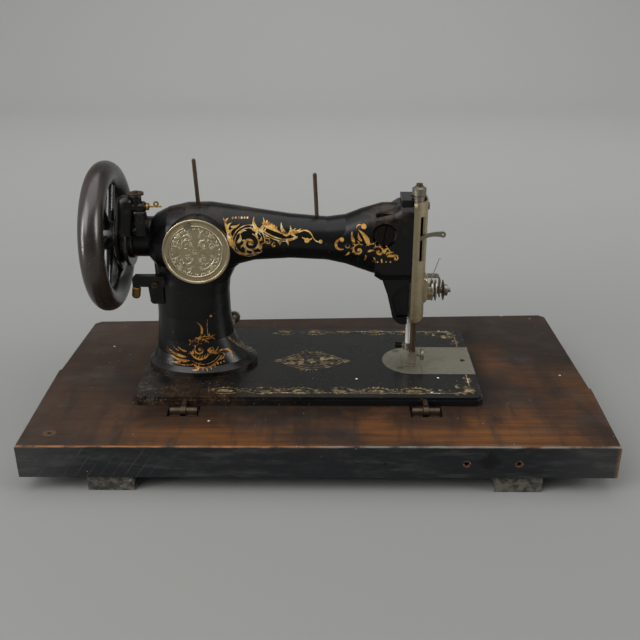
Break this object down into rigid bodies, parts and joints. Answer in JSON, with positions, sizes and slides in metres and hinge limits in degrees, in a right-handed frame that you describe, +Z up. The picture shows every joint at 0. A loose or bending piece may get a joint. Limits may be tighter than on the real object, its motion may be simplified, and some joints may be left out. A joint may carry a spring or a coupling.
{
  "type": "sewing machine on base board",
  "caption": "Antique domestic lock-stitch sewing machine head, hinged at its back edge to a two-plank wooden base board on battens.",
  "frame": {"origin": "on the floor under the middle of the base board", "axes": "+X towards the needle end, +Y away from the hinges, +Z up"},
  "size_m": [0.593, 0.319, 0.294],
  "materials": {
    "wood": "dark stained, worn",
    "japan": "black japan enamel",
    "wheel_black": "worn black",
    "steel": "dull steel",
    "dark_steel": "browned steel",
    "bright": "polished",
    "plate": "tarnished nickel plate",
    "brass": "dull brass"
  },
  "bodies": {
    "base": {"plank_near": "wood", "plank_far": "wood", "batten_left": "wood", "batten_right": "wood", "batten_screws": "dark_steel", "hinge_leaves": "dark_steel", "hinge_pins": "dark_steel", "hinge_screws": "dark_steel"},
    "head": {"hinge_knuckles": "dark_steel", "bed": "japan", "arm": "japan", "arm_bolts": "dark_steel", "needle_plate": "steel", "needle_plate_screws": "steel", "side_bracket": "japan", "side_bracket_screw": "dark_steel", "side_bracket_peg": "brass", "face_plate": "plate", "face_plate_screw": "dark_steel", "needle_bar_bushing": "steel", "take_up_stud": "dark_steel", "shaft_bushings": "dark_steel", "spool_pins": "dark_steel", "cover_screw": "steel", "tension_stud": "steel", "tension_discs": "bright", "tension_spring": "steel", "tension_washer": "dark_steel", "thread_guard": "steel", "check_spring": "bright", "winder_bracket": "japan", "winder_pivot": "dark_steel", "shuttle_race": "steel", "bobbin_case": "steel"},
    "wheel": {"handwheel": "wheel_black", "arm_shaft": "steel"},
    "stop_knob": {"stop_motion_knob": "steel"},
    "needle_slide": {"needle_bar": "bright", "needle_clamp": "steel", "needle_clamp_screw": "steel", "needle": "bright"},
    "take_up": {"take_up_lever": "steel"},
    "presser": {"presser_bar": "dark_steel", "presser_foot": "steel", "presser_foot_screw": "steel"},
    "pressure_nut": {"presser_regulator": "steel"},
    "thread_nut": {"tension_nut": "steel"},
    "stitch_knob": {"stitch_regulator": "steel"},
    "slide": {"slide_plate": "steel"},
    "cover": {"rear_cover_plate": "plate"},
    "winder": {"winder_frame": "japan", "winder_tension": "dark_steel"},
    "spindle": {"winder_spindle": "brass"},
    "hook": {"hook_shaft": "steel", "shuttle_hook": "bright"},
    "reel": {"bobbin": "steel"},
    "feed": {"feed_bar": "dark_steel", "feed_dog": "steel"},
    "feed_rock": {"feed_rock_shaft": "steel"},
    "feed_lift": {"feed_lift_shaft": "steel"}
  },
  "joints": [
    {"name": "bed_hinge", "type": "hinge", "parent": "base", "child": "head", "pos_m": [-0.195, -0.09, 0.054], "axis": [1, 0, 0], "range_deg": [0, 85]},
    {"name": "wheel_turn", "type": "hinge", "parent": "head", "child": "wheel", "pos_m": [-0.195, 0.0089, 0.2105], "axis": [1, 0, 0], "continuous": true},
    {"name": "stop_knob_turn", "type": "hinge", "parent": "wheel", "child": "stop_knob", "pos_m": [-0.24, 0.0089, 0.2105], "axis": [1, 0, 0], "range_deg": [-180, 180]},
    {"name": "needle_bar_slide", "type": "slide", "parent": "head", "child": "needle_slide", "axis": [0, 0, 1], "range_m": [0, 0.027]},
    {"name": "take_up_swing", "type": "hinge", "parent": "head", "child": "take_up", "pos_m": [0.0695, -0.01, 0.219], "axis": [0, -1, 0], "range_deg": [-22, 22]},
    {"name": "presser_slide", "type": "slide", "parent": "head", "child": "presser", "axis": [0, 0, 1], "range_m": [0, 0.007], "stiffness_N_per_m": 400, "springref_m": -0.01},
    {"name": "pressure_nut_turn", "type": "hinge", "parent": "head", "child": "pressure_nut", "pos_m": [0.1043, -0.0035, 0.249], "axis": [0, 0, 1], "range_deg": [-180, 180]},
    {"name": "thread_nut_turn", "type": "hinge", "parent": "head", "child": "thread_nut", "pos_m": [0.139, 0.0089, 0.149], "axis": [1, 0, 0], "range_deg": [-180, 180]},
    {"name": "stitch_knob_turn", "type": "hinge", "parent": "head", "child": "stitch_knob", "pos_m": [-0.0996, 0.04, 0.0983], "axis": [0, 1, 0], "range_deg": [-180, 180]},
    {"name": "slide_plate_slide", "type": "slide", "parent": "head", "child": "slide", "axis": [1, 0, 0], "range_m": [0, 0.045]},
    {"name": "cover_swing", "type": "hinge", "parent": "head", "child": "cover", "pos_m": [-0.1324, -0.029, 0.2336], "axis": [0, -1, 0], "range_deg": [0, 138]},
    {"name": "winder_swing", "type": "hinge", "parent": "head", "child": "winder", "pos_m": [-0.195, -0.027, 0.2355], "axis": [1, 0, 0], "range_deg": [-6, 6]},
    {"name": "spindle_turn", "type": "hinge", "parent": "winder", "child": "spindle", "pos_m": [-0.195, -0.03, 0.2545], "axis": [1, 0, 0], "continuous": true},
    {"name": "hook_turn", "type": "hinge", "parent": "head", "child": "hook", "pos_m": [0.005, 0.0089, 0.033], "axis": [1, 0, 0], "range_deg": [-100, 100]},
    {"name": "bobbin_turn", "type": "hinge", "parent": "head", "child": "reel", "pos_m": [0.1, 0.0089, 0.033], "axis": [1, 0, 0], "continuous": true},
    {"name": "feed_slide", "type": "slide", "parent": "head", "child": "feed", "axis": [0, 1, 0], "range_m": [-0.0015, 0.0015]},
    {"name": "feed_rock_turn", "type": "hinge", "parent": "head", "child": "feed_rock", "pos_m": [0.005, -0.05, 0.041], "axis": [1, 0, 0], "range_deg": [-10.8, 10.8]},
    {"name": "feed_lift_turn", "type": "hinge", "parent": "head", "child": "feed_lift", "pos_m": [0.005, 0.068, 0.041], "axis": [1, 0, 0], "range_deg": [-6, 6]}
  ],
  "couplings": [
    {"joint": "feed_rock_turn", "follows": "feed_slide", "rad_per_m": -125}
  ]
}
